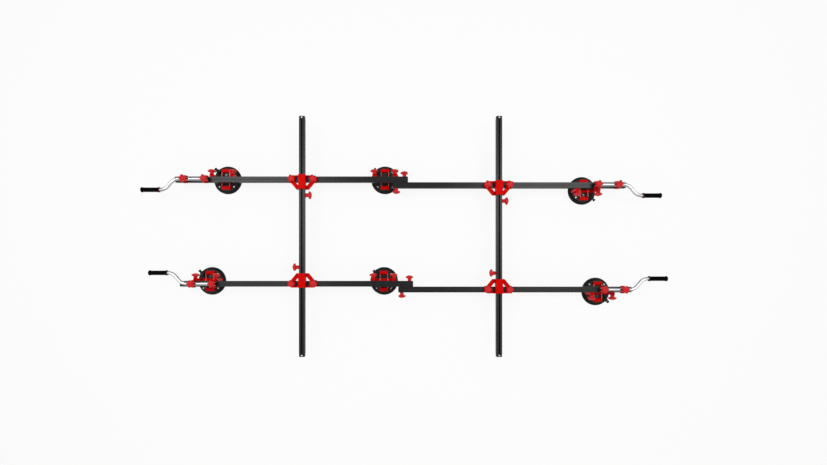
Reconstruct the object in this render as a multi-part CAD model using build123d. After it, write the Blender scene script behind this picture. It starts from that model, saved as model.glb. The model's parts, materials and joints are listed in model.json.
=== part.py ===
"""Slab carrying frame: two telescoping rail pairs, two cross bars, six vacuum cups and four crank handles.

X runs along the rails, Y along the cross bars and Z up. The origin is on the floor, midway between the
outermost grip ends and midway between the cross bars' ends. Lengths are in millimetres.
"""
import os

from build123d import *

# Clearances
slide_gap = 0.3  # between faces that slide on each other
turn_gap = 0.05  # radial, round a shaft that turns or is fitted by hand

# Slotted bar section, shared by rails and cross bars
bar_width = 40.0
bar_height = 30.0
bar_corner = 1.0
slot_mouth = 9.0
slot_lip = 3.0
slot_cavity = 15.0
slot_depth = 8.5
core_wall = 2.5  # between the hollow core and the slots
plain_wall = 3.5  # under the face without a slot
hook_groove_height = 3.4
hook_groove_depth = 2.5
hook_groove_drop = 3.0  # from the plain face down to the groove
scribe_line = 1.6  # side of the V line along the plain face

# Bars and where they lie
rail_length = 1625.0  # with its caps
cross_bar_length = 1660.0  # with its caps
rail_floor = 95.0  # underside of the rails
rear_pair_y = 380.0  # midway between the two rear rails
front_pair_y = -347.0
left_cross_x = -698.0
right_cross_x = 660.0
rear_left_inner_x = 33.0  # inner ends of the rails, which overlap in the middle
front_left_inner_x = 69.0
rear_right_inner_x = -74.0
front_right_inner_x = -35.0
outer_cap_length = 20.0
inner_cap_length = 4.0
cap_inset = 1.0  # how far a cap stands inside the bar's outline
cap_edge = 2.0

# Star knobs
knob_radius = 27.0
knob_head = 18.0
knob_lobes = 5
scallop_radius = 15.0
scallop_depth = 7.0
lobe_round = 4.0
knob_edge = 3.0
knob_crown = 11.0  # radius of the flat on the domed top
knob_rim = 10.0  # height of the head at its rim
dome_edge = 1.5
hub_foot_radius = 12.0
hub_neck_radius = 15.0
long_hub = 19.0  # knobs in a bar's side
short_hub = 12.0  # knobs on brackets and cups
saddle_hub = 3.0  # knobs on the handle saddles
stud_diameter = 8.0
nut_length = 20.0

# Crossing brackets
bracket_plate = 6.0  # under the cross bar
bracket_arm = 12.0  # thickness of arms and knob bosses
bracket_arm_width = 28.0
bracket_arm_splay = 10.0  # from the knob's axis out to the arm's end
bracket_boss_radius = 25.0
bracket_knob_offset = 75.0  # from the cross bar's centre line
bracket_inner_reach = 74.0  # from the rail's centre line to the inner end
bracket_outer_reach = 27.0
bracket_inner_half = 50.0
strap_thickness = 8.0
cheek_thickness = 4.0
bracket_round = 2.0
rim_strip = 10.0
tongue_reach = 127.0
tongue_width = 24.0
lug_thickness = 6.7
lug_length = 25.0
lug_margin = 9.0  # above the side slot's axis

# Hook lips that hold brackets and saddles on a rail
lip_thickness = 6.0
lip_height = 8.0
lip_half_length = 20.0

# Telescoping knobs
extension_setback = 25.0  # from the rail's inner end

# Crank handles
tube_diameter = 24.0
tube_wall = 2.0
clamp_spacing = 143.0
clamp_length = 26.0
clamp_floor = 4.0  # under the tube
clamp_roof = 5.0  # over the tube
clamp_half_width = 17.0
clamp_round = 3.0
tube_overhang = 20.0  # past the inner clamp's centre
bend_start = 38.0  # past the outer clamp's centre
bend_radius = 70.0
bend_angle = 50.0
crank_offset = 76.0
grip_start = 174.0  # past the outer clamp's centre
grip_end = 298.0
grip_radius = 15.5
grip_flare = 18.0
grip_flare_length = 12.0
grip_flange_length = 5.0
grip_end_wall = 8.0
collar_length = 3.0
plug_length = 6.0

# Vacuum cups
cup_offset = 18.0  # cup centre from the rail's centre line
pad_radius = 100.0
pad_rim = 8.0
pad_cavity = 3.0
pad_slope = 8.0
pad_edge = 3.0
pad_height = 17.0
pad_top_radius = 86.0
pad_bulge = 1.5
plate_radius = 82.0
plate_thickness = 10.0
plate_edge = 2.0
bridge_half_width = 29.0
bridge_half_length = 72.0
bridge_wall = 4.0
bridge_floor = 5.0
bridge_end = 22.0
bridge_window_rim = 4.0  # floor left round the window
bridge_depth = 14.0  # inside the channel
bridge_round = 2.0
clamp_bar_thickness = 16.0
cup_lug_half = 14.0
cup_lug_drop = 0.8  # below the hook lips
cup_ledge_reach = 12.0  # under the rail
cup_ledge_height = 10.0
cup_knob_offset = 72.0
cup_boss_radius = 14.0
cup_boss_length = 5.7

# Hand pump on each cup
pump_angle = 135.0
pump_radius = 13.0
pump_lift = 1.0  # barrel above the plate
pump_start = 62.0
pump_end = 90.0
pump_seat_width = 16.0
plunger_radius = 6.0
plunger_inner = 78.0
plunger_head_radius = 10.0
plunger_head = 8.0
plunger_travel = 9.5
plunger_stop_gap = 0.5
bore_bottom = 64.0

# Heights that follow
rail_axis = rail_floor + bar_height / 2
rail_top = rail_floor + bar_height
lip_bottom = rail_top + slide_gap - lip_height
plate_seat = rail_top + slide_gap
cross_floor = plate_seat + bracket_plate + slide_gap
cross_axis = cross_floor + bar_height / 2
strap_floor = cross_floor + bar_height + slide_gap
strap_top = strap_floor + strap_thickness
boss_top = plate_seat + bracket_arm
tube_axis = plate_seat + clamp_floor + tube_diameter / 2
clamp_top = tube_axis + tube_diameter / 2 + clamp_roof
plate_top = pad_height + plate_thickness
channel_floor = plate_top + bridge_floor
bridge_top = channel_floor + bridge_depth
cup_ledge_top = rail_floor - slide_gap
cup_lug_top = lip_bottom - cup_lug_drop
pump_axis = plate_top + pump_lift + pump_radius
lip_outer = bar_width / 2 + slide_gap + lip_thickness
cheek_outer = bar_width / 2 + slide_gap + cheek_thickness
pair_half_pitch = (bar_width + slide_gap) / 2

# The knob's dome is part of a ball through the edge of its flat and the rim of its lobes
dome_rise = knob_crown**2 + knob_head**2 - knob_radius**2 - knob_rim**2
dome_centre = dome_rise / (2 * (knob_head - knob_rim))
dome_radius = (knob_crown**2 + (knob_head - dome_centre) ** 2) ** 0.5

# Each rail's own frame starts at its outer end, runs inward along +x and has its knobs on +y.
# Rails on the right are the same kit turned half round. crank_side is the side that the grip lies on.
rails = {
    "rear_left": {
        "outer_x": rear_left_inner_x - rail_length,
        "y": rear_pair_y + pair_half_pitch,
        "turn": 0,
        "cross_x": left_cross_x,
        "inward": -1,
        "clamp": 77.0,
        "crank_side": -1,
        "cups": {"cup_1": 326.0, "cup_2": rail_length - 163.0},
    },
    "front_left": {
        "outer_x": front_left_inner_x - rail_length,
        "y": front_pair_y + pair_half_pitch,
        "turn": 0,
        "cross_x": left_cross_x,
        "inward": 1,
        "clamp": 95.0,
        "crank_side": 1,
        "cups": {"cup_3": 176.0, "cup_4": rail_length - 206.0},
    },
    "rear_right": {
        "outer_x": rear_right_inner_x + rail_length,
        "y": rear_pair_y - pair_half_pitch,
        "turn": 180,
        "cross_x": right_cross_x,
        "inward": -1,
        "clamp": 66.0,
        "crank_side": 1,
        "cups": {"cup_5": 260.0},
    },
    "front_right": {
        "outer_x": front_right_inner_x + rail_length,
        "y": front_pair_y - pair_half_pitch,
        "turn": 180,
        "cross_x": right_cross_x,
        "inward": 1,
        "clamp": 64.0,
        "crank_side": -1,
        "cups": {"cup_6": 200.0},
    },
}
cross_bars = {"left": left_cross_x, "right": right_cross_x}


def block(x0, x1, y0, y1, z0, z1):
    """A box between two corners."""
    return Pos((x0 + x1) / 2, (y0 + y1) / 2, (z0 + z1) / 2) * Box(x1 - x0, y1 - y0, z1 - z0)


def rod(radius, start, end):
    """A round rod along +Z from start to end."""
    return Pos(0, 0, (start + end) / 2) * Cylinder(radius, end - start)


def slot_outline():
    """A T-slot that opens at y = 0 and goes in along +y."""
    cavity = slot_depth - slot_lip
    mouth = Pos(0, slot_lip / 2) * Rectangle(slot_mouth, slot_lip)
    return mouth + Pos(0, slot_lip + cavity / 2) * Rectangle(slot_cavity, cavity)


def bar_section():
    """The bar's section: slots in both sides and the underside, the fourth face plain."""
    half_width = bar_width / 2
    half_height = bar_height / 2
    section = fillet(Rectangle(bar_width, bar_height).vertices(), bar_corner)
    section -= Pos(0, -half_height) * slot_outline()
    section -= Pos(half_width, 0) * Rot(0, 0, 90) * slot_outline()
    section -= Pos(-half_width, 0) * Rot(0, 0, -90) * slot_outline()
    groove_y = half_height - hook_groove_drop - hook_groove_height / 2
    for side in (-1, 1):
        groove_x = side * (half_width - hook_groove_depth / 2)
        section -= Pos(groove_x, groove_y) * Rectangle(hook_groove_depth, hook_groove_height)
    section -= Pos(0, half_height) * Rot(0, 0, 45) * Rectangle(scribe_line, scribe_line)
    core_width = bar_width - 2 * (slot_depth + core_wall)
    core_bottom = -half_height + slot_depth + core_wall
    core_top = half_height - plain_wall
    core_height = core_top - core_bottom
    section -= Pos(0, (core_bottom + core_top) / 2) * RectangleRounded(core_width, core_height, bar_corner)
    return section


def slotted_bar(start, end):
    """A slotted bar along X, centred on the axis, with its plain face up."""
    return Pos(start, 0, 0) * extrude(Plane.YZ * bar_section(), end - start)


def end_cap(start, end, rounded_end):
    """A plastic cap on a bar's end face. Its outer edge, at rounded_end, is bevelled."""
    cap = block(
        start, end, cap_inset - bar_width / 2, bar_width / 2 - cap_inset,
        cap_inset - bar_height / 2, bar_height / 2 - cap_inset,
    )
    outer_face = cap.faces().filter_by(Axis.X).sort_by_distance((rounded_end, 0, 0))[0]
    return chamfer(outer_face.edges(), min(cap_edge, (end - start) / 2))


def knob_head_outline():
    """A round head with a scallop between each two lobes."""
    head = Circle(knob_radius)
    scallop = Pos(knob_radius - scallop_depth + scallop_radius, 0) * Circle(scallop_radius)
    for index in range(knob_lobes):
        head -= Rot(0, 0, 360 * index / knob_lobes) * scallop
    return fillet(head.vertices(), lobe_round)


def star_knob(hub, stud_end):
    """A star knob along +Z that seats at z = 0, with its stud down to z = -stud_end."""
    head = extrude(knob_head_outline(), knob_head)
    head = fillet(head.edges().group_by(Axis.Z)[0], knob_edge)
    head &= Pos(0, 0, dome_centre) * Rot(0, 90, 0) * Sphere(dome_radius)  # the ball's seam lies below
    dome = head.faces().filter_by(GeomType.SPHERE)[0]
    head = fillet(dome.outer_wire().edges(), dome_edge)
    neck = Pos(0, 0, hub / 2) * Cone(hub_foot_radius, hub_neck_radius, hub)
    stud = rod(stud_diameter / 2, -stud_end, hub)
    return Pos(0, 0, hub) * head + neck + stud


def slot_nut():
    """A nut that fills a T-slot's cavity, along X, with its near face at z = 0 and its far face below."""
    thickness = slot_depth - slot_lip - 2 * slide_gap
    half_width = slot_cavity / 2 - slide_gap
    return block(-nut_length / 2, nut_length / 2, -half_width, half_width, -thickness, 0)


def slot_knob(hub, seat):
    """A star knob on its side with its T-bolt in a bar's slot. The bar's face is seat below z = 0."""
    nut_top = seat + slot_lip + slide_gap
    nut_bottom = seat + slot_depth - slide_gap
    return star_knob(hub, nut_bottom) + Pos(0, 0, -nut_top) * slot_nut()


def hook_lip(start, end, side):
    """A lip down a rail's side with a tooth in the rail's hook groove. The rail's axis is y = 0."""
    face = bar_width / 2 + slide_gap
    tooth_tip = bar_width / 2 - hook_groove_depth + slide_gap
    tooth_top = rail_top - hook_groove_drop - slide_gap
    tooth_bottom = rail_top - hook_groove_drop - hook_groove_height + slide_gap
    lip = block(start, end, face, lip_outer, lip_bottom, plate_seat)
    lip += block(start, end, tooth_tip, face, tooth_bottom, tooth_top)
    return lip if side > 0 else mirror(lip, Plane.XZ)


def rail_parts():
    """A rail in its own frame: the bar with its cross hole, two caps and the nut for its extension knob."""
    axis = Pos(0, 0, rail_axis)
    knob_x = rail_length - extension_setback
    bar = slotted_bar(outer_cap_length, rail_length - inner_cap_length)
    hole = Pos(knob_x, 0, 0) * Rot(-90, 0, 0) * Cylinder(stud_diameter / 2 + turn_gap, bar_width)
    outer_cap = end_cap(0, outer_cap_length, 0)
    inner_cap = end_cap(rail_length - inner_cap_length, rail_length, rail_length)
    partner_face = bar_width / 2 + slide_gap
    nut_face = partner_face + slot_lip + slide_gap
    nut = Pos(knob_x, -nut_face, 0) * Rot(-90, 0, 0) * slot_nut()
    bore = Pos(knob_x, -nut_face, 0) * Rot(-90, 0, 0) * Cylinder(stud_diameter / 2 + turn_gap, 2 * slot_depth)
    return [axis * piece for piece in (bar - hole, outer_cap, inner_cap, nut - bore)]


def extension_knob():
    """The knob at a rail's inner end. Its stud goes through the rail into the nut in the partner's slot."""
    seat = bar_width / 2 + slide_gap
    nut_end = bar_width / 2 + slide_gap + slot_depth - slide_gap
    knob = star_knob(long_hub, seat + nut_end)
    return [Pos(rail_length - extension_setback, seat, rail_axis) * Rot(-90, 0, 0) * knob]


def cross_bar_parts():
    """A cross bar along Y with its slot up, centred on the origin, and its two caps."""
    half = cross_bar_length / 2
    pieces = [
        slotted_bar(outer_cap_length - half, half - outer_cap_length),
        end_cap(-half, outer_cap_length - half, -half),
        end_cap(half - outer_cap_length, half, half),
    ]
    return [Pos(0, 0, cross_axis) * Rot(0, 0, 90) * Rot(180, 0, 0) * piece for piece in pieces]


def stadium(x0, y0, x1, y1, width):
    """A flat bar with round ends between two points."""
    middle = Vector((x0 + x1) / 2, (y0 + y1) / 2)
    run = Vector(x1 - x0, y1 - y0)
    angle = Vector(1, 0).get_signed_angle(run, Vector(0, 0, 1))
    return Pos(middle.X, middle.Y) * Rot(0, 0, angle) * SlotCenterToCenter(run.length, width)


def bracket_parts():
    """A crossing bracket: the rail runs along X at y = 0, the cross bar along Y at x = 0, inward is -y."""
    arm_round = bracket_arm_width / 2
    corner_x = bracket_inner_half - arm_round
    corner_y = arm_round - bracket_inner_reach
    ring = stadium(-corner_x, corner_y, corner_x, corner_y, bracket_arm_width)
    arm_x = bracket_knob_offset + bracket_arm_splay
    for side in (-1, 1):
        ring += Pos(side * bracket_knob_offset, 0) * Circle(bracket_boss_radius)
        ring += stadium(side * arm_x, 0, side * corner_x, corner_y, bracket_arm_width)
    rim_length = 2 * bracket_knob_offset
    ring += Pos(0, lip_outer - rim_strip / 2) * Rectangle(rim_length, rim_strip)
    body = Pos(0, 0, plate_seat) * extrude(ring, bracket_arm)
    top_edges = body.edges().group_by(Axis.Z)[-1]
    body = fillet(top_edges, bracket_round)
    strap = block(
        -cheek_outer, cheek_outer, -bracket_inner_reach, bracket_outer_reach, plate_seat, strap_top,
    )
    strap = fillet(strap.edges().group_by(Axis.Z)[-1], bracket_round)
    body += strap
    inside = bar_width / 2 + slide_gap
    reach = tongue_reach + bracket_outer_reach
    body -= block(-inside, inside, -reach, reach, plate_seat + bracket_plate, strap_floor)
    body += hook_lip(-bracket_knob_offset, bracket_knob_offset, 1)
    for side in (-1, 1):
        lip_x = side * bracket_knob_offset
        body += hook_lip(lip_x - lip_half_length, lip_x + lip_half_length, -1)
        body -= Pos(lip_x, 0, 0) * rod(stud_diameter / 2 + turn_gap, plate_seat, boss_top)
    lug_outer = inside + lug_thickness
    lug_start = -tongue_reach
    lug_end = lug_start + lug_length
    tongue_top = plate_seat + bracket_plate
    tongue_half = tongue_width / 2
    body += block(
        -tongue_half, tongue_half, lug_start, -bracket_inner_reach, plate_seat, tongue_top,
    )
    lug = block(0, lug_outer, lug_start, lug_end, plate_seat, tongue_top)
    lug += block(inside, lug_outer, lug_start, lug_end, plate_seat, cross_axis + lug_margin)
    lug_knob_y = (lug_start + lug_end) / 2
    lug -= Pos(inside, lug_knob_y, cross_axis) * Rot(0, 90, 0) * Cylinder(
        stud_diameter / 2 + turn_gap, 3 * lug_thickness
    )
    return [body + lug]


def bracket_knob_parts():
    """The bracket's knobs: two that press on the rail and one in the cross bar's side slot."""
    knobs = [
        Pos(side * bracket_knob_offset, 0, boss_top) * star_knob(short_hub, bracket_arm)
        for side in (-1, 1)
    ]
    seat = slide_gap + lug_thickness
    lug_knob_y = lug_length / 2 - tongue_reach
    side_knob = Rot(0, 90, 0) * Rot(0, 0, 90) * slot_knob(long_hub, seat)
    knobs.append(Pos(bar_width / 2 + seat, lug_knob_y, cross_axis) * side_knob)
    return knobs


def saddle_clamp():
    """A saddle hooked over the rail with the handle tube's bore. Its middle is at x = 0."""
    half = clamp_length / 2
    seat_top = plate_seat + clamp_floor
    base = block(-half, half, -lip_outer, lip_outer, plate_seat, seat_top)
    tower = block(-half, half, -clamp_half_width, clamp_half_width, plate_seat, clamp_top)
    tower = fillet(tower.edges().filter_by(Axis.X).group_by(Axis.Z)[-1], clamp_round)
    body = base + tower + hook_lip(-half, half, 1) + hook_lip(-half, half, -1)
    bore = Rot(0, 90, 0) * Cylinder(tube_diameter / 2 + turn_gap, 2 * clamp_length)
    body -= Pos(0, 0, tube_axis) * bore
    return body - rod(stud_diameter / 2 + turn_gap, tube_axis, clamp_top + clamp_roof)


def saddle_clamp_parts(clamp_x):
    """A handle's two saddles and the star knobs that press on its tube."""
    pieces = []
    for x in (clamp_x, clamp_x + clamp_spacing):
        pieces.append(Pos(x, 0, 0) * saddle_clamp())
        pieces.append(Pos(x, 0, clamp_top) * star_knob(saddle_hub, clamp_roof - slide_gap))
    return pieces


def crank_parts(clamp_x, side):
    """The cranked tube and the plug in its inner end, in the rail's own frame."""
    inner_end = clamp_x + clamp_spacing + tube_overhang
    turn = Vector(1, 0).rotate(Axis.Z, bend_angle)
    tangent = bend_radius * (1 - turn.X) / turn.Y
    first_corner = clamp_x - bend_start - tangent
    second_corner = first_corner - crank_offset * turn.X / turn.Y
    tube_end = clamp_x - grip_end + grip_end_wall
    path = FilletPolyline(
        (inner_end, 0, tube_axis),
        (first_corner, 0, tube_axis),
        (second_corner, side * crank_offset, tube_axis),
        (tube_end, side * crank_offset, tube_axis),
        radius=bend_radius,
    )
    section_plane = Plane(origin=(inner_end, 0, tube_axis), z_dir=(-1, 0, 0))
    ring = Circle(tube_diameter / 2) - Circle(tube_diameter / 2 - tube_wall)
    tube = sweep(section_plane * ring, path=path)
    plug = Pos(inner_end, 0, tube_axis) * Rot(0, 90, 0) * rod(tube_diameter / 2, 0, plug_length)
    return [tube, plug]


def grip_parts(clamp_x, side):
    """The rubber grip on the crank's end and the collar at the grip's inner end."""
    bore = tube_diameter / 2 + turn_gap
    length = grip_end - grip_start
    flare_start = length - grip_flare_length
    outline = make_face(
        Polyline(
            (bore, 0),
            (grip_flare, 0),
            (grip_flare, grip_flange_length),
            (grip_radius, 2 * grip_flange_length),
            (grip_radius, flare_start),
            (grip_flare, flare_start + grip_flare_length / 3),
            (grip_flare, length - grip_flare_length / 4),
            (grip_flare - grip_flare_length / 4, length),
            (0, length),
            (0, length - grip_end_wall),
            (bore, length - grip_end_wall),
            close=True,
        )
    )
    grip = revolve(Plane.XZ * outline, axis=Axis.Z)
    collar = rod(grip_flare, -collar_length, 0) - rod(bore, -collar_length, 0)
    place = Pos(clamp_x - grip_start, side * crank_offset, tube_axis) * Rot(0, -90, 0)
    return [place * grip, place * collar]


def pad_parts():
    """The rubber pad: a shallow hollow inside a flat sealing rim."""
    rim_inner = pad_radius - pad_rim
    edge_middle = (
        (pad_radius + pad_top_radius) / 2 + pad_bulge,
        (pad_edge + pad_height) / 2 + pad_bulge,
    )
    lines = Polyline(
        (pad_top_radius, pad_height),
        (0, pad_height),
        (0, pad_cavity),
        (rim_inner - pad_slope, pad_cavity),
        (rim_inner, 0),
        (pad_radius, 0),
        (pad_radius, pad_edge),
    )
    edge = ThreePointArc((pad_radius, pad_edge), edge_middle, (pad_top_radius, pad_height))
    return [revolve(Plane.XZ * make_face(lines + edge), axis=Axis.Z)]


def pump_place():
    """The frame of the hand pump: +Z outward along its barrel from the cup's middle."""
    return Pos(0, 0, pump_axis) * Rot(0, 0, pump_angle) * Rot(0, 90, 0)


def plate_parts():
    """The cup plate with the pump's barrel on it."""
    plate = rod(plate_radius, pad_height, plate_top)
    plate = fillet(plate.edges().group_by(Axis.Z)[-1], plate_edge)
    seat_reach = plate_radius - pump_seat_width / 2
    seat = Rot(0, 0, pump_angle) * block(
        pump_start, seat_reach, -pump_seat_width / 2, pump_seat_width / 2, plate_top - plate_edge, pump_axis,
    )
    barrel = pump_place() * rod(pump_radius, pump_start, pump_end)
    bore = pump_place() * rod(plunger_radius + turn_gap, bore_bottom, pump_end + pump_radius)
    return [plate + seat + barrel - bore]


def plunger_parts():
    """The pump's plunger: a rod in the barrel and a round button outside it."""
    head_start = pump_end + plunger_travel + plunger_stop_gap
    button = rod(plunger_head_radius, head_start, head_start + plunger_head)
    button = chamfer(button.edges().group_by(Axis.Z)[-1], plunger_head / 4)
    return [pump_place() * (rod(plunger_radius, plunger_inner, head_start) + button)]


def bridge_parts():
    """The red bridge: a low channel across the rail, a bar along the rail and two lugs for the knobs."""
    rail_face = bar_width / 2 - cup_offset
    width = bridge_half_width
    length = bridge_half_length
    channel = block(-width, width, -length, length, plate_top, bridge_top)
    channel = fillet(channel.edges().filter_by(Axis.Z), bridge_round)
    inner_width = width - bridge_wall
    inner_length = length - bridge_end
    channel -= block(-inner_width, inner_width, -inner_length, inner_length, channel_floor, bridge_top)
    window_width = inner_width - bridge_window_rim
    window_length = inner_length - bridge_window_rim
    channel -= block(
        -window_width, window_width, -window_length, window_length, plate_top, channel_floor,
    )
    bar_start = rail_face + slide_gap
    bar_end = bar_start + clamp_bar_thickness
    bar_half = cup_knob_offset + cup_lug_half
    body = channel + block(-bar_half, bar_half, bar_start, bar_end, plate_top, bridge_top)
    boss_end = bar_end + cup_boss_length
    ledge_start = rail_face - cup_ledge_reach
    ledge_bottom = cup_ledge_top - cup_ledge_height
    for side in (-1, 1):
        lug_x = side * cup_knob_offset
        lug_low = lug_x - cup_lug_half
        lug_high = lug_x + cup_lug_half
        body += block(lug_low, lug_high, bar_start, bar_end, plate_top, cup_lug_top)
        body += block(lug_low, lug_high, ledge_start, bar_start, ledge_bottom, cup_ledge_top)
        place = Pos(lug_x, 0, rail_axis) * Rot(-90, 0, 0)
        body += place * rod(cup_boss_radius, bar_end, boss_end)
        body -= place * rod(stud_diameter / 2 + turn_gap, bar_start, boss_end)
    return [body]


def cup_knob_parts():
    """A cup's two star knobs with their T-bolts in the rail's side slot."""
    rail_face = bar_width / 2 - cup_offset
    seat = slide_gap + clamp_bar_thickness + cup_boss_length
    return [
        Pos(side * cup_knob_offset, rail_face + seat, rail_axis)
        * Rot(-90, 0, 0)
        * slot_knob(short_hub, seat)
        for side in (-1, 1)
    ]


def save(node, pieces, place):
    """Write one node's pieces, moved to their place in the frame."""
    solids = [solid for piece in pieces for solid in (place * piece).solids()]
    export_step(Compound(solids), f"parts/{node}.step")


def main():
    os.makedirs("parts", exist_ok=True)
    for side, x in cross_bars.items():
        save(f"cross_bar_{side}", cross_bar_parts(), Pos(x, 0, 0))
    for corner, rail in rails.items():
        place = Pos(rail["outer_x"], rail["y"], 0) * Rot(0, 0, rail["turn"])
        save(f"rail_{corner}", rail_parts(), place)
        save(f"extension_knob_{corner}", extension_knob(), place)
        save(f"handle_clamps_{corner}", saddle_clamp_parts(rail["clamp"]), place)
        save(f"crank_{corner}", crank_parts(rail["clamp"], rail["crank_side"]), place)
        save(f"grip_{corner}", grip_parts(rail["clamp"], rail["crank_side"]), place)
        crossing = Pos(rail["cross_x"], rail["y"], 0) * Rot(0, 0, 0 if rail["inward"] < 0 else 180)
        save(f"bracket_{corner}", bracket_parts(), crossing)
        save(f"bracket_knobs_{corner}", bracket_knob_parts(), crossing)
        for cup, cup_x in rail["cups"].items():
            cup_place = place * Pos(cup_x, cup_offset, 0)
            save(f"{cup}_pad", pad_parts(), cup_place)
            save(f"{cup}_plate", plate_parts(), cup_place)
            save(f"{cup}_bridge", bridge_parts(), cup_place)
            save(f"{cup}_knobs", cup_knob_parts(), cup_place)
            save(f"{cup}_plunger", plunger_parts(), cup_place)


main()
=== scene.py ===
# %% [markdown]
# # A slab carrying frame, dressed for the studio
#
# This frame carries a thin stone slab flat. Two pairs of slotted rails telescope beside each
# other, two cross bars tie the pairs together, and six hand-pumped vacuum cups grip the slab
# from above. The solid model comes in as a fixed frame, so this lesson adds only what a solid
# model lacks: finishes, fasteners, light and a camera.

# %% Load the solid model
import json
import math

import bmesh
import bpy
from mathutils import Matrix, Vector

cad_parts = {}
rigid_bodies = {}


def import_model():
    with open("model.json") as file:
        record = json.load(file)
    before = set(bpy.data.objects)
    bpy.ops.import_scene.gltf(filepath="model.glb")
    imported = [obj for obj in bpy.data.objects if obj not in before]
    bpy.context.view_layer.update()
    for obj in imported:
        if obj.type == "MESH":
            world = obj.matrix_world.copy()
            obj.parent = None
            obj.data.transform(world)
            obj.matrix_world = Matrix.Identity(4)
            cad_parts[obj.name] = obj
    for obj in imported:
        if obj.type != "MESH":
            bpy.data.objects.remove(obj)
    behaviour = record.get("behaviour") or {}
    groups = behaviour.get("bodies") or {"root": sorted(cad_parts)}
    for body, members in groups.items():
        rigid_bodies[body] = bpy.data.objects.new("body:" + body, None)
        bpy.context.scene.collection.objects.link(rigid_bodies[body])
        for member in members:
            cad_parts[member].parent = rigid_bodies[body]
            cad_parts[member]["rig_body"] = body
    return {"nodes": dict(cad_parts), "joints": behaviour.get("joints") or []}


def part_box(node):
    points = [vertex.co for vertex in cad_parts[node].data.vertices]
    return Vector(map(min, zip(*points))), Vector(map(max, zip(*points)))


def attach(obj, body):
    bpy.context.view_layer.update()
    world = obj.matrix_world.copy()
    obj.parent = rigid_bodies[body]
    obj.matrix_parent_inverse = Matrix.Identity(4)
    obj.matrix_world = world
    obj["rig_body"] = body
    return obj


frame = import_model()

scene = bpy.context.scene
nodes = frame["nodes"]
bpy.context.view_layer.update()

# %% [markdown]
# ## Names
#
# The frame repeats itself: four corners, each with a rail, a crossing bracket and a crank
# handle, and six cups. Lists of names let every later step be one loop. A joint in the
# record gives the middle line of each rail, because the crank turns straight above it.

# %% Corners, cups and the rails' middle lines
CORNERS = ("rear_left", "front_left", "rear_right", "front_right")
SIDES = ("left", "right")
CUPS = tuple(f"cup_{number}" for number in range(1, 7))
UP = Vector((0, 0, 1))

joints = {joint["name"]: joint for joint in frame["joints"]}
rail_line = {corner: joints[f"crank_turn_{corner}"]["pos_m"][1] for corner in CORNERS}
outward = {corner: -1 if corner.endswith("left") else 1 for corner in CORNERS}
print("rail lines, metres:", {corner: round(y, 4) for corner, y in rail_line.items()})

# %% [markdown]
# ## Camera
#
# The picture is taken straight down from about three metres above the floor. The lens
# stands a little in front of the frame's middle, which a tilted camera could also give, but
# a tilt would make the cross bars lean. A small lens shift keeps every bar parallel.

# %% Camera
PHOTO_WIDTH = 827
SENSOR_WIDTH = 36.0
FOCAL_PIXELS = 442.0
LENS_SHIFT = (0.0175, 0.049)
CAMERA_PLACE = (-0.0295, -0.252, 3.2)

camera_data = bpy.data.cameras.new("overhead_camera")
camera_data.sensor_width = SENSOR_WIDTH
camera_data.lens = SENSOR_WIDTH * FOCAL_PIXELS / PHOTO_WIDTH
camera_data.shift_x, camera_data.shift_y = LENS_SHIFT
camera = bpy.data.objects.new("overhead_camera", camera_data)
camera.location = CAMERA_PLACE
scene.collection.objects.link(camera)
scene.camera = camera
print("lens, mm:", round(camera_data.lens, 2))

# %% [markdown]
# ## Shader sums in plain Python
#
# A finish is a small sum: so much grain, less where the edge is worn. Nodes could be linked
# one by one, but a class that wraps a socket lets the sum be written as a sum. Each
# operator adds one Math node, and every other node comes from the one method `node`.


# %% A socket that can be added and multiplied
class Paint:
    """One socket in a node tree. Sums of these add Math nodes to the tree."""

    def __init__(self, tree, socket=None):
        self.tree = tree
        self.socket = socket

    def node(self, kind, settings=None, inputs=None, output=0):
        made = self.tree.nodes.new(kind)
        for name, value in (settings or {}).items():
            setattr(made, name, value)
        for key, value in (inputs or {}).items():
            self.feed(made.inputs[key], value)
        return Paint(self.tree, made.outputs[output])

    def feed(self, socket, value):
        if isinstance(value, Paint):
            self.tree.links.new(value.socket, socket)
        else:
            socket.default_value = value

    def out(self, name):
        return Paint(self.tree, self.socket.node.outputs[name])

    def maths(self, operation, first, second):
        return self.node("ShaderNodeMath", {"operation": operation}, {0: first, 1: second})

    def __add__(self, other):
        return self.maths("ADD", self, other)

    __radd__ = __add__

    def __sub__(self, other):
        return self.maths("SUBTRACT", self, other)

    def __rsub__(self, other):
        return self.maths("SUBTRACT", other, self)

    def __mul__(self, other):
        return self.maths("MULTIPLY", self, other)

    __rmul__ = __mul__

    def __gt__(self, other):
        return self.maths("GREATER_THAN", self, other)

    def __lt__(self, other):
        return self.maths("LESS_THAN", self, other)

    def __abs__(self):
        return self.maths("ABSOLUTE", self, 0.0)

    def clamped(self):
        return self.node("ShaderNodeClamp", {}, {"Value": self})

    def between(self, low, high):
        """0 below low, 1 above high and a straight slope between."""
        inputs = {"Value": self, "From Min": low, "From Max": high}
        return self.node("ShaderNodeMapRange", {}, inputs)

    def mix(self, first, second):
        """A colour that goes from first to second as this socket goes from 0 to 1."""
        settings = {"data_type": "RGBA"}
        return self.node("ShaderNodeMix", settings, {0: self, 6: first, 7: second}, output=2)


print("Paint is ready:", [name for name in vars(Paint) if not name.startswith("_")])

# %% [markdown]
# ## Studio
#
# The object lies on a pale floor under large soft lamps, so its shadow is faint and wide. The
# white surround is seen by the camera and by shiny metal, but it lights the frame less
# strongly than it looks: Light Path tells those rays apart, so colours stay as written. The
# two main lamps hang where the black bars mirror them, which gives each bar its paler stretch.

# %% World
AMBIENT = 0.52


def seen_directly(start):
    """1 for rays that show the surround: from the camera, off shiny metal or through glass."""
    path = start.node("ShaderNodeLightPath", output="Is Camera Ray")
    return (path + path.out("Is Glossy Ray") + path.out("Is Transmission Ray")).clamped()


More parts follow.
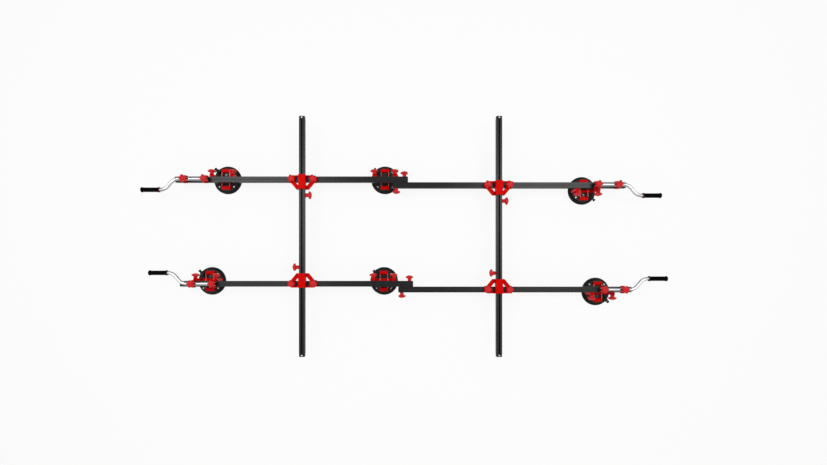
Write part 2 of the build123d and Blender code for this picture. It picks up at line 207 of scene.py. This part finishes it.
world = bpy.data.worlds.new("studio_surround")
world.use_nodes = True
scene.world = world
surround = Paint(world.node_tree)
background = world.node_tree.nodes["Background"]
background.inputs["Color"].default_value = (1, 1, 1, 1)
surround.feed(background.inputs["Strength"], AMBIENT + (1 - AMBIENT) * seen_directly(surround))
scene.view_settings.view_transform = "Standard"
print("surround lights the frame at", AMBIENT)

# %% Floor
FLOOR_HALF = Vector((40.0, 40.0))
FLOOR_DROP = -0.0005
FLOOR_GLOW = 0.88
PAPER_GREYS = ((0.84, 0.84, 0.84, 1), (0.88, 0.88, 0.88, 1))
FIBRE_SCALE = 60.0


def floor_paper():
    material = bpy.data.materials.new("floor_paper")
    material.use_nodes = True
    start = Paint(material.node_tree)
    paper = material.node_tree.nodes["Principled BSDF"]
    place = start.node("ShaderNodeTexCoord", output="Object")
    inputs = {"Vector": place, "Scale": FIBRE_SCALE, "Detail": 4.0}
    fibre = start.node("ShaderNodeTexNoise", {}, inputs)
    start.feed(paper.inputs["Base Color"], fibre.mix(*PAPER_GREYS))
    paper.inputs["Roughness"].default_value = 0.9
    paper.inputs["Specular IOR Level"].default_value = 0.0
    glow = start.node("ShaderNodeEmission", {}, {"Color": (1, 1, 1, 1), "Strength": 1.0})
    share = FLOOR_GLOW * seen_directly(start)
    plain = Paint(start.tree, paper.outputs[0])
    mixed = start.node("ShaderNodeMixShader", {}, {0: share, 1: plain, 2: glow})
    start.feed(material.node_tree.nodes["Material Output"].inputs["Surface"], mixed)
    return material


floor_mesh = bpy.data.meshes.new("studio_floor")
floor_corners = [(-1, -1), (1, -1), (1, 1), (-1, 1)]
floor_points = [(x * FLOOR_HALF.x, y * FLOOR_HALF.y, FLOOR_DROP) for x, y in floor_corners]
floor_mesh.from_pydata(floor_points, [], [(0, 1, 2, 3)])
floor_mesh.materials.append(floor_paper())
floor = bpy.data.objects.new("studio_floor", floor_mesh)
scene.collection.objects.link(floor)
print("floor, metres:", [2 * half for half in FLOOR_HALF])

# %% Lamps
LAMPS = {
    "left_softbox": {"at": (-2.1, 0.85, 3.9), "size": (1.5, 2.1), "watts": 50},
    "right_softbox": {"at": (2.1, 0.85, 3.9), "size": (1.5, 2.1), "watts": 50},
    "front_softbox": {"at": (0.0, -3.4, 3.6), "size": (3.2, 1.2), "watts": 24},
}

for name, lamp in LAMPS.items():
    light = bpy.data.lights.new(name, "AREA")
    light.shape = "RECTANGLE"
    light.size, light.size_y = lamp["size"]
    light.energy = lamp["watts"]
    holder = bpy.data.objects.new(name, light)
    holder.location = lamp["at"]
    holder.rotation_euler = (-Vector(lamp["at"])).to_track_quat("-Z", "Y").to_euler()
    scene.collection.objects.link(holder)
print("lamps:", list(LAMPS))

# %% [markdown]
# Chrome in an all white room turns into a white line, and a black bar under a white ceiling
# turns grey. Photographers stand long dark cards at the sides, out of the picture, and hang
# one over the camera: polished tube then shows thin dark edges, and the bars stay black in
# the middle. Here the cards are seen by shiny surfaces only, so they shade nothing and enter
# no view.

# %% Dark cards
CARD_DISTANCE = 3.4
CARD_HEIGHT = 2.8
CARD_HALF_LENGTH = 4.5
TOP_CARD_HEIGHT = 3.95
TOP_CARD_LOW = (-1.25, -1.9)
TOP_CARD_HIGH = (1.25, 2.4)
FELT_GREYS = ((0.02, 0.02, 0.02, 1), (0.04, 0.04, 0.04, 1))
FELT_SCALE = 30.0


def dark_card():
    material = bpy.data.materials.new("dark_card")
    material.use_nodes = True
    start = Paint(material.node_tree)
    card = material.node_tree.nodes["Principled BSDF"]
    place = start.node("ShaderNodeTexCoord", output="Object")
    felt = start.node("ShaderNodeTexNoise", {}, {"Vector": place, "Scale": FELT_SCALE})
    start.feed(card.inputs["Base Color"], felt.mix(*FELT_GREYS))
    card.inputs["Roughness"].default_value = 1.0
    card.inputs["Specular IOR Level"].default_value = 0.0
    return material


card_points = []
card_faces = []
for side in (-1, 1):
    first = len(card_points)
    y = side * CARD_DISTANCE
    for x, z in ((-1, 0), (1, 0), (1, 1), (-1, 1)):
        card_points.append((x * CARD_HALF_LENGTH, y, z * CARD_HEIGHT))
    card_faces.append(tuple(range(first, first + 4)))
first = len(card_points)
for x in (TOP_CARD_LOW[0], TOP_CARD_HIGH[0]):
    for y in (TOP_CARD_LOW[1], TOP_CARD_HIGH[1]):
        card_points.append((x, y, TOP_CARD_HEIGHT))
card_faces.append((first, first + 1, first + 3, first + 2))
card_mesh = bpy.data.meshes.new("studio_cards")
card_mesh.from_pydata(card_points, [], card_faces)
card_mesh.materials.append(dark_card())
cards = bpy.data.objects.new("studio_cards", card_mesh)
cards.visible_camera = False
cards.visible_diffuse = False
cards.visible_shadow = False
scene.collection.objects.link(cards)
print("dark cards:", len(card_faces))

# %% [markdown]
# ## Finishes
#
# Every finish starts from the object's own coordinates, which are metres here, so grain has
# its real size. Image textures would need unwrapping and files, while noise needs neither.
# The Bevel node rounds the normal at sharp edges, as casting and painting do. Where that normal
# leaves the flat one, there is an edge, and paint and dye are thinnest there.


# %% What every finish needs
EDGE_SLOPE = (0.02, 0.3)


def new_finish(name):
    material = bpy.data.materials.new(name)
    material.use_nodes = True
    return material, Paint(material.node_tree), material.node_tree.nodes["Principled BSDF"]


def coordinates(start, stretch=(1, 1, 1)):
    place = start.node("ShaderNodeTexCoord", output="Object")
    return start.node("ShaderNodeVectorMath", {"operation": "MULTIPLY"}, {0: place, 1: stretch})


def noise(start, place, scale, detail=2.0):
    inputs = {"Vector": place, "Scale": scale, "Detail": detail}
    return start.node("ShaderNodeTexNoise", {}, inputs)


def rounded_edges(start, radius):
    """A normal that turns softly round every sharp edge, as on cast or drawn metal."""
    return start.node("ShaderNodeBevel", {"samples": 4}, {"Radius": radius})


def wear(start, rounded):
    """0 on flat faces, rising towards 1 at sharp edges."""
    flat = start.node("ShaderNodeNewGeometry", output="Normal")
    settings = {"operation": "DOT_PRODUCT"}
    same = start.node("ShaderNodeVectorMath", settings, {0: rounded, 1: flat}, output="Value")
    return (1 - same).between(*EDGE_SLOPE)


def bump(start, height, strength, distance, over=None):
    """Fine relief, laid over a rounded normal where one is given."""
    inputs = {"Strength": strength, "Distance": distance, "Height": height}
    if over is not None:
        inputs["Normal"] = over
    return start.node("ShaderNodeBump", {}, inputs)


def set_shader(start, shader, values):
    for socket, value in values.items():
        start.feed(shader.inputs[socket], value)


print("finish helpers are ready")

# %% [markdown]
# ### Black anodised bars
#
# The bars are pressed through a die and then dyed black. The die leaves hair-fine lines
# along the bar, and the dye is a shade lighter on the corners. The noise is stretched along
# the bar, so rails and cross bars need one version each.

# %% Black anodised bars
DRAW_LINES = 420.0
DYE_CLOUDS = 9.0
BAR_EDGE = 0.0012
DYES = ((0.009, 0.009, 0.009, 1), (0.022, 0.021, 0.022, 1))
RUBBED_DYE = (0.13, 0.13, 0.135, 1)
ALONG = 0.006


def anodised(name, stretch):
    material, start, shader = new_finish(name)
    lines = noise(start, coordinates(start, stretch), DRAW_LINES, 3.0)
    clouds = noise(start, coordinates(start), DYE_CLOUDS)
    rounded = rounded_edges(start, BAR_EDGE)
    rubbed = wear(start, rounded) * (0.35 + 0.5 * clouds)
    dyed = lines.mix(*DYES)
    set_shader(start, shader, {
        "Base Color": rubbed.mix(dyed, RUBBED_DYE),
        "Specular IOR Level": 0.25,
        "Roughness": 0.22 + 0.10 * lines + 0.06 * clouds,
        "Normal": bump(start, lines, 0.12, 0.0002, rounded),
    })
    return material


rail_finish = anodised("black_anodised_rail", (ALONG, 1, 1))
cross_bar_finish = anodised("black_anodised_cross_bar", (1, ALONG, 1))
print("bars:", rail_finish.name, cross_bar_finish.name)

# %% [markdown]
# ### Red painted castings
#
# Brackets, saddles and cup bridges are cast and powder coated. Powder melts into a skin with
# a faint orange peel, is thin on sharp edges and even elsewhere, so the colour barely varies
# while the bump does the work. Its gloss is tinted red, because a white gloss would grey it.
# The inner corners are darkened as painted shade, found by Ambient Occlusion: it asks how much
# of the sky over a point is hidden by the same casting.
# The tops of the channel's two long walls carry a painted highlight: a pale pink colour with a
# little metallic shine. Generated coordinates find those thin strips in every bridge's own box.

# %% Red painted castings
WALL_BAND = (0.155, 0.172)
WALL_END = 0.35
WALL_TOP = 0.21
FACING_UP = 0.9
SHADE_REACH = 0.022
SHADE_SLOPE = (0.05, 0.5)
PEEL_SCALE = 620.0
COAT_CLOUDS = 14.0
CAST_EDGE = 0.0018
COATS = ((0.56, 0.0010, 0.0008, 1), (0.64, 0.0012, 0.0010, 1))
THIN_COAT = (0.74, 0.03, 0.02, 1)
PAINTED_SHADE_COAT = (0.16, 0.002, 0.002, 1)
WALL_HIGHLIGHT_COLOUR = (0.74, 0.46, 0.44, 1)
RED_GLOSS = (1.0, 0.10, 0.08, 1)


def wall_tops(start):
    """1 on the tops of the channel's two long walls, 0 elsewhere on a bridge."""
    across = start.node("ShaderNodeTexCoord", output="Generated")
    x = start.node("ShaderNodeSeparateXYZ", {}, {0: across}, output="X")
    up = start.node("ShaderNodeNewGeometry", output="Normal")
    z = start.node("ShaderNodeSeparateXYZ", {}, {0: up}, output="Z")
    sideways = abs(x - 0.5)
    lengthwise = abs(x.out("Y") - 0.5)
    walls = (sideways > WALL_BAND[0]) * (sideways < WALL_BAND[1]) * (lengthwise < WALL_END)
    return walls * (x.out("Z") < WALL_TOP) * (z > FACING_UP)


def painted_corner_shade(start):
    """Painted shade: 0 on open faces, rising towards 1 deep in a corner of the same casting."""
    settings = {"samples": 4, "only_local": True}
    open_sky = start.node(
        "ShaderNodeAmbientOcclusion", settings, {"Distance": SHADE_REACH}, output="AO"
    )
    return (1 - open_sky).between(*SHADE_SLOPE)


def powder_coat(name, painted_wall_highlight=False):
    material, start, shader = new_finish(name)
    place = coordinates(start)
    peel = noise(start, place, PEEL_SCALE)
    clouds = noise(start, place, COAT_CLOUDS)
    rounded = rounded_edges(start, CAST_EDGE)
    thin = 0.35 * wear(start, rounded)
    clean = thin.mix(clouds.mix(*COATS), THIN_COAT)
    # Painted shade: the coat turns a darker red deep in each inner corner of the casting.
    corner_shade = painted_corner_shade(start) * (0.45 + 0.5 * clouds)
    painted = corner_shade.mix(clean, PAINTED_SHADE_COAT)
    # Painted highlight: the channel walls' tops turn pale pink and a little metallic.
    highlight_mask = wall_tops(start) if painted_wall_highlight else None
    set_shader(start, shader, {
        "Base Color": highlight_mask.mix(painted, WALL_HIGHLIGHT_COLOUR) if painted_wall_highlight else painted,
        "Metallic": 0.3 * highlight_mask if painted_wall_highlight else 0.0,
        "Specular IOR Level": 0.30,
        "Specular Tint": RED_GLOSS,
        "Roughness": 0.34 + 0.16 * peel,
        "Normal": bump(start, peel, 0.16, 0.0003, rounded),
    })
    return material


casting_finish = powder_coat("red_powder_coat")
bridge_finish = powder_coat("red_powder_coat_with_painted_highlights", painted_wall_highlight=True)
print("castings:", casting_finish.name, bridge_finish.name)

# %% [markdown]
# ### Red moulded knobs
#
# The star knobs are moulded plastic, a little pinker and glossier than the castings. The
# mould is spark eroded, which leaves a very fine grain, and hands polish the lobes, so the
# edges are shinier than the hollows.

# %% Red moulded knobs
KNOB_GRAIN = 1100.0
KNOB_CLOUDS = 35.0
KNOB_EDGE = 0.0025


def moulded_red(name, dark, light, handled_edge):
    material, start, shader = new_finish(name)
    place = coordinates(start)
    grain = noise(start, place, KNOB_GRAIN, 1.0)
    clouds = noise(start, place, KNOB_CLOUDS)
    rounded = rounded_edges(start, KNOB_EDGE)
    handled = wear(start, rounded)
    body = clouds.mix((*dark, 1), (*light, 1))
    set_shader(start, shader, {
        "Base Color": (0.4 * handled).mix(body, (*handled_edge, 1)),
        "Specular IOR Level": 0.26,
        "Roughness": 0.40 - 0.12 * handled + 0.08 * grain,
        "Normal": bump(start, grain, 0.08, 0.0002, rounded),
    })
    return material


KNOB_REDS = ((0.56, 0.004, 0.007), (0.63, 0.006, 0.009), (0.72, 0.035, 0.04))
COLLAR_REDS = ((0.14, 0.004, 0.006), (0.18, 0.006, 0.008), (0.20, 0.010, 0.012))

knob_finish = moulded_red("red_moulded_plastic", *KNOB_REDS)
collar_finish = moulded_red("dark_red_collar", *COLLAR_REDS)
print("knobs and collars:", knob_finish.name, collar_finish.name)

# %% [markdown]
# ### Chromed tube, bright screws and bolts
#
# The cranks are chromed steel, polished round before they are bent. Chrome has hardly any
# colour of its own, so only the smudges of hands show, as a change in roughness. Its specular
# tint is dark, which draws a thin line along both sides of the tube. Screws and studs are zinc
# plated, duller, with a faint cloud. The bolts in the cups' channels are plain oiled steel, so
# they are dark and only glint where a lamp hangs over them.

# %% Metals
BLUE_CAST = 0.01
SCRATCH_SCALE = 160.0
SMUDGE_SLOPE = (0.35, 0.75)


def metal(name, greys, edge, roughness, smudge, size):
    """A plated metal: greys are its dark and light clouds, edge is its tint at grazing angles."""
    dark, light = ((grey, grey, grey + BLUE_CAST, 1) for grey in greys)
    material, start, shader = new_finish(name)
    clouds = noise(start, coordinates(start), size, 4.0)
    scratches = noise(start, coordinates(start, (1, 14, 14)), SCRATCH_SCALE)
    set_shader(start, shader, {
        "Base Color": clouds.mix(dark, light),
        "Metallic": 1.0,
        "Specular Tint": (edge, edge, edge, 1),
        "Roughness": roughness + smudge * clouds.between(*SMUDGE_SLOPE) + 0.04 * scratches,
        "Normal": bump(start, scratches, 0.02, 0.0001),
    })
    return material


chrome_finish = metal("chromed_steel", (0.64, 0.72), 0.04, 0.06, 0.08, 24.0)
zinc_finish = metal("zinc_plated_steel", (0.58, 0.74), 0.8, 0.22, 0.12, 220.0)
oiled_finish = metal("oiled_steel", (0.06, 0.11), 0.6, 0.24, 0.12, 160.0)
print("metals:", chrome_finish.name, zinc_finish.name, oiled_finish.name)

# %% [markdown]
# ### Rubber, black plastic and the dark cup plates
#
# The cup's rubber has fine rings from its turned mould. Generated coordinates run from 0 to
# 1 across each pad, so the distance from one half gives rings round every cup's own middle.
# Grips, caps and plungers are plainer: a matt skin with mould grain and a little dust. The same
# skin, darker and duller still, lines the slot along the top of each cross bar as painted shade
# in the groove.

# %% Rubber pads
RINGS = 150.0
PAD_DUST = 30.0
PAD_DUST_SLOPE = (0.4, 0.8)
RUBBERS = ((0.005, 0.005, 0.005, 1), (0.016, 0.016, 0.015, 1))


def ringed_rubber(name):
    material, start, shader = new_finish(name)
    across = start.node("ShaderNodeTexCoord", output="Generated")
    flat = start.node("ShaderNodeVectorMath", {"operation": "MULTIPLY"}, {0: across, 1: (1, 1, 0)})
    settings = {"operation": "DISTANCE"}
    inputs = {0: flat, 1: (0.5, 0.5, 0)}
    reach = start.node("ShaderNodeVectorMath", settings, inputs, output="Value")
    rings = start.node("ShaderNodeMath", {"operation": "SINE"}, {0: reach * RINGS})
    dust = noise(start, coordinates(start), PAD_DUST, 5.0)
    set_shader(start, shader, {
        "Base Color": dust.between(*PAD_DUST_SLOPE).mix(*RUBBERS),
        "Specular IOR Level": 0.16,
        "Roughness": 0.58 + 0.16 * dust,
        "Normal": bump(start, 0.5 * rings + 0.3 * dust, 0.12, 0.0006),
    })
    return material


pad_finish = ringed_rubber("black_cup_rubber")
print("pads:", pad_finish.name)


# %% Grained black skins
SKIN_DUST = 40.0
SKIN_DUST_SLOPE = (0.35, 0.8)
SKIN_EDGE = 0.0016


def black_skin(name, tones, gloss, roughness, grain_size, depth):
    """A black surface: tones are the greys of its hollows, dusty places and rubbed edges."""
    dark, dusty, worn = ((grey, grey, grey, 1) for grey in tones)
    material, start, shader = new_finish(name)
    place = coordinates(start)
    grain = noise(start, place, grain_size)
    dust = noise(start, place, SKIN_DUST, 4.0)
    rounded = rounded_edges(start, SKIN_EDGE)
    rubbed = 0.3 * wear(start, rounded)
    skin = dust.between(*SKIN_DUST_SLOPE).mix(dark, dusty)
    set_shader(start, shader, {
        "Base Color": rubbed.mix(skin, worn),
        "Specular IOR Level": gloss,
        "Roughness": roughness + 0.14 * grain + 0.10 * dust,
        "Normal": bump(start, grain, depth, 0.0003, rounded),
    })
    return material


GRIP_TONES = (0.002, 0.004, 0.012)
PLASTIC_TONES = (0.005, 0.012, 0.070)
PLATE_TONES = (0.013, 0.030, 0.080)
SLOT_SHADE_TONES = (0.003, 0.006, 0.020)

grip_finish = black_skin("black_grip_rubber", GRIP_TONES, 0.02, 0.62, 700.0, 0.25)
plastic_finish = black_skin("black_moulded_plastic", PLASTIC_TONES, 0.20, 0.36, 900.0, 0.10)
plate_finish = black_skin("dark_plate_coating", PLATE_TONES, 0.25, 0.42, 520.0, 0.16)
# The slot lining is painted shade: a darker, duller black that stands in for the groove's shade.
slot_shade_finish = black_skin("painted_shade_slot_black", SLOT_SHADE_TONES, 0.02, 0.70, 520.0, 0.10)
print("black skins:", grip_finish.name, plastic_finish.name, plate_finish.name, slot_shade_finish.name)

# %% [markdown]
# ## Dressing the solid model
#
# A node of the solid model can hold several pieces, such as a rail with its caps. Splitting
# the mesh would change it, so each node gets more than one material slot instead, and each
# face is told which slot it shows by where its middle lies.


# %% Slots and faces
def dress(node, finish):
    nodes[node].data.materials.clear()
    nodes[node].data.materials.append(finish)


def dress_faces(node, finish, wanted):
    mesh = nodes[node].data
    mesh.materials.append(finish)
    index = len(mesh.materials) - 1
    chosen = [face for face in mesh.polygons if wanted(face.center, face.normal)]
    for face in chosen:
        face.material_index = index
    return len(chosen)


print("nodes to dress:", len(nodes))

# %% Rails, cross bars and their caps
SKIN = 0.0001
OUTER_CAP = 0.020 + SKIN
INNER_CAP = 0.004 + SKIN
BAR_HALF = 0.020 + 2 * SKIN
SLOT_HALF = 0.0075 + SKIN
SLOT_DEPTH = 0.0085 + SKIN

for corner in CORNERS:
    node = f"rail_{corner}"
    low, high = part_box(node)
    outer, inner = (low.x, high.x) if outward[corner] < 0 else (high.x, low.x)
    line = rail_line[corner]
    dress(node, rail_finish)
    capped = dress_faces(node, plastic_finish, lambda at, out: abs(at.x - outer) < OUTER_CAP)
    capped += dress_faces(node, plastic_finish, lambda at, out: abs(at.x - inner) < INNER_CAP)
    plated = dress_faces(node, zinc_finish, lambda at, out: abs(at.y - line) > BAR_HALF)
    print(node, "cap faces", capped, "slot nut faces", plated)

for side in SIDES:
    node = f"cross_bar_{side}"
    low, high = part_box(node)
    dress(node, cross_bar_finish)
    x = (low.x + high.x) / 2
    top = high.z - SKIN
    low_slot = high.z - SLOT_DEPTH
    # Painted shade: the faces inside the top slot get the darker slot lining.
    in_slot = lambda at, out: abs(at.x - x) < SLOT_HALF and low_slot < at.z < top
    lined = dress_faces(node, slot_shade_finish, in_slot)
    ends = (low.y + OUTER_CAP, high.y - OUTER_CAP)
    capped = dress_faces(node, plastic_finish, lambda at, out: not ends[0] < at.y < ends[1])
    print(node, "slot faces", lined, "cap faces", capped)

# %% Brackets and their knobs
KNOB_HEAD = 0.018
BRACKET_KNOB = KNOB_HEAD + 0.012 + SKIN
BESIDE_RAIL = 0.060

for corner in CORNERS:
    line = rail_line[corner]
    dress(f"bracket_{corner}", casting_finish)
    node = f"bracket_knobs_{corner}"
    low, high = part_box(node)
    dress(node, knob_finish)
    foot = high.z - BRACKET_KNOB
    on_stud = lambda at, out: abs(at.y - line) < BESIDE_RAIL and at.z < foot
    studs = dress_faces(node, zinc_finish, on_stud)
    print(node, "stud faces", studs)

# %% Handles
SADDLE_KNOB = KNOB_HEAD + 0.003 + SKIN
PLUG = 0.006 + SKIN
COLLAR = 0.003 + SKIN
FACING_ALONG = 0.5

for corner in CORNERS:
    node = f"handle_clamps_{corner}"
    low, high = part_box(node)
    dress(node, casting_finish)
    knobs = dress_faces(node, knob_finish, lambda at, out: at.z > high.z - SADDLE_KNOB)
    node = f"crank_{corner}"
    low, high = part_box(node)
    inner = high.x if outward[corner] < 0 else low.x
    dress(node, chrome_finish)
    plug = dress_faces(node, plastic_finish, lambda at, out: abs(at.x - inner) < PLUG)
    node = f"grip_{corner}"
    low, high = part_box(node)
    inner = high.x if outward[corner] < 0 else low.x
    dress(node, grip_finish)
    on_collar = lambda at, out: abs(at.x - inner) < COLLAR and abs(out.x) > FACING_ALONG
    collar = dress_faces(node, collar_finish, on_collar)
    dress(f"extension_knob_{corner}", knob_finish)
    print(corner, "handle knob faces", knobs, "plug faces", plug, "collar faces", collar)

# %% Cups
SEAT_BAND = 0.0004

for cup in CUPS:
    dress(f"{cup}_pad", pad_finish)
    dress(f"{cup}_plunger", plastic_finish)
    dress(f"{cup}_knobs", knob_finish)
    dress(f"{cup}_bridge", bridge_finish)
    plate_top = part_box(f"{cup}_bridge")[0].z
    dress(f"{cup}_plate", plate_finish)
    on_barrel = lambda at, out: at.z > plate_top + SEAT_BAND
    barrel = dress_faces(f"{cup}_plate", plastic_finish, on_barrel)
    print(cup, "pump faces", barrel)

# %% [markdown]
# ## Turned fasteners
#
# Screws, bolts and the moulded buttons on the knobs are all round things with a profile, so
# one lathe makes them: a list of rings, each with a radius, a height and a shape. A ring may
# also be a hexagon, which gives spanner flats and key sockets without any boolean cut.

# %% A small lathe
LATHE_STEPS = 24
SHARP = math.radians(32)
HEXAGON_SIDE = math.radians(60)


def ring_reach(radius, shape, angle):
    if shape == "round":
        return radius
    from_flat = angle % HEXAGON_SIDE - HEXAGON_SIDE / 2
    return radius * math.cos(HEXAGON_SIDE / 2) / math.cos(from_flat)


def add_turned(mesh, rings, point, direction):
    place = Matrix.Translation(point) @ direction.to_track_quat("Z", "Y").to_matrix().to_4x4()
    loops = []
    for radius, height, shape in rings:
        loop = []
        for step in range(LATHE_STEPS):
            angle = math.tau * step / LATHE_STEPS
            reach = ring_reach(radius, shape, angle)
            point_on_ring = Vector((reach * math.cos(angle), reach * math.sin(angle), height))
            loop.append(mesh.verts.new(place @ point_on_ring))
        loops.append(loop)
    for lower, upper in zip(loops, loops[1:]):
        for step in range(LATHE_STEPS):
            after = (step + 1) % LATHE_STEPS
            mesh.faces.new((lower[step], lower[after], upper[after], upper[step]))
    mesh.faces.new(list(reversed(loops[0])))
    mesh.faces.new(loops[-1])


def turned_pieces(name, body, finish, rings, places):
    """One object with the same turned piece at several places, riding on a body."""
    mesh = bmesh.new()
    for point, direction in places:
        add_turned(mesh, rings, point, direction)
    data = bpy.data.meshes.new(name)
    mesh.to_mesh(data)
    mesh.free()
    data.shade_smooth()
    data.set_sharp_from_angle(angle=SHARP)
    data.materials.append(finish)
    piece = bpy.data.objects.new(name, data)
    scene.collection.objects.link(piece)
    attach(piece, body)
    return piece


print("lathe steps:", LATHE_STEPS)

# %% [markdown]
# ### Plate screws and channel bolts
#
# Each cup plate is held to its rubber by button-head screws near the four corners of the
# bridge, and the pump takes the fourth place. The channel's floor is open, and two hexagon bolts
# with washers stand on the plate inside it. The bridge's own box gives the plate's height,
# because the bridge rests on it.

# %% Plate screws
SCREW_SPACING = Vector((0.052, 0.051))
BUTTON_HEAD = [
    (0.0058, 0.0000, "round"),
    (0.0060, 0.0008, "round"),
    (0.0057, 0.0021, "round"),
    (0.0046, 0.0031, "round"),
    (0.0034, 0.0034, "round"),
    (0.0026, 0.0034, "hexagon"),
    (0.0025, 0.0014, "hexagon"),
]


def middle(node):
    low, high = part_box(node)
    return (low + high) / 2


for cup in CUPS:
    centre = middle(f"{cup}_pad")
    centre.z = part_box(f"{cup}_bridge")[0].z
    pump = middle(f"{cup}_plunger") - centre
    places = []
    for x in (-1, 1):
        for y in (-1, 1):
            if x * pump.x > 0 and y * pump.y > 0:
                continue
            places.append((centre + Vector((x * SCREW_SPACING.x, y * SCREW_SPACING.y, 0)), UP))
    turned_pieces(f"{cup}_plate_screws", cup, zinc_finish, BUTTON_HEAD, places)
print("plate screws on each cup:", len(places))

# %% Channel bolts
BOLT_SPACING = 0.033
WASHER_BOLT = [
    (0.0093, 0.0000, "round"),
    (0.0095, 0.0003, "round"),
    (0.0095, 0.0016, "round"),
    (0.0091, 0.0019, "round"),
    (0.0068, 0.0019, "hexagon"),
    (0.0069, 0.0072, "hexagon"),
    (0.0058, 0.0080, "round"),
]

for cup in CUPS:
    centre = middle(f"{cup}_pad")
    centre.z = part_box(f"{cup}_bridge")[0].z
    places = [(centre + Vector((0, y * BOLT_SPACING, 0)), UP) for y in (-1, 1)]
    turned_pieces(f"{cup}_channel_bolts", cup, oiled_finish, WASHER_BOLT, places)
print("channel bolts on each cup:", len(places))

# %% [markdown]
# ### Cap screws
#
# The bars' end caps are held by one screw each. On the cross bars it stands on top, where it
# shows as a bright dot, and on the rails it goes into the end, below the handle's tube.

# %% Cap screws
CAP_MIDDLE = 0.010
CAP_INSET = 0.001

for side in SIDES:
    low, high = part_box(f"cross_bar_{side}")
    x = (low.x + high.x) / 2
    z = high.z - CAP_INSET
    places = [(Vector((x, low.y + CAP_MIDDLE, z)), UP), (Vector((x, high.y - CAP_MIDDLE, z)), UP)]
    body = f"cross_bar_{side}"
    turned_pieces(f"{body}_cap_screws", body, zinc_finish, BUTTON_HEAD, places)

for corner in CORNERS:
    low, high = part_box(f"rail_{corner}")
    end = low.x if outward[corner] < 0 else high.x
    point = Vector((end, rail_line[corner], (low.z + high.z) / 2))
    place = (point, Vector((outward[corner], 0, 0)))
    body = f"rail_{corner}"
    turned_pieces(f"{body}_cap_screw", body, zinc_finish, BUTTON_HEAD, [place])
print("cap screws:", 2 * len(SIDES) + len(CORNERS))

# %% [markdown]
# ### Knob buttons
#
# Every star knob is closed by a small pressed-in button over its stud. Its place is read off
# the knob itself: the flat faces furthest along the knob's axis, averaged by area, meet in
# the axis, because five lobes balance.

# %% Knob buttons
KNOB_BUTTON = [
    (0.0098, -0.0004, "round"),
    (0.0098, 0.0003, "round"),
    (0.0092, 0.0010, "round"),
    (0.0070, 0.0014, "round"),
    (0.0050, 0.0013, "round"),
    (0.0030, 0.0010, "round"),
]
KNOB_SPREAD = 0.060
FLAT_BAND = 0.0005
FACING_OUT = 0.99


def knob_tops(node, direction, wanted=lambda at: True):
    """The middle of each knob's outer face, for the knobs of a node that point one way."""
    facing = [f for f in nodes[node].data.polygons if f.normal.dot(direction) > FACING_OUT]
    faces = [face for face in facing if wanted(face.center)]
    furthest = max(face.center.dot(direction) for face in faces)
    heaps = []
    for face in faces:
        if furthest - face.center.dot(direction) > FLAT_BAND:
            continue
        near = [heap for heap in heaps if (heap[0].center - face.center).length < KNOB_SPREAD]
        if near:
            near[0].append(face)
        else:
            heaps.append([face])
    tops = []
    for heap in heaps:
        area = sum(face.area for face in heap)
        tops.append((sum((face.center * face.area for face in heap), Vector()) / area, direction))
    return tops


def knob_buttons(node, places):
    name = node.replace("knobs", "knob").replace("clamps", "clamp") + "_buttons"
    turned_pieces(name, nodes[node]["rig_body"], knob_finish, KNOB_BUTTON, places)
    print(name, len(places))


for corner in CORNERS:
    line = rail_line[corner]
    across = Vector((0, 1 if corner.endswith("left") else -1, 0))
    lying = Vector((1 if corner.startswith("rear") else -1, 0, 0))
    standing = knob_tops(f"bracket_knobs_{corner}", UP)
    beside = knob_tops(f"bracket_knobs_{corner}", lying, lambda at: abs(at.y - line) > BESIDE_RAIL)
    knob_buttons(f"bracket_knobs_{corner}", standing + beside)
    knob_buttons(f"handle_clamps_{corner}", knob_tops(f"handle_clamps_{corner}", UP))
    knob_buttons(f"extension_knob_{corner}", knob_tops(f"extension_knob_{corner}", across))

for cup in CUPS:
    side = (middle(f"{cup}_knobs") - middle(f"{cup}_pad")).y
    knob_buttons(f"{cup}_knobs", knob_tops(f"{cup}_knobs", Vector((0, math.copysign(1, side), 0))))

# %% [markdown]
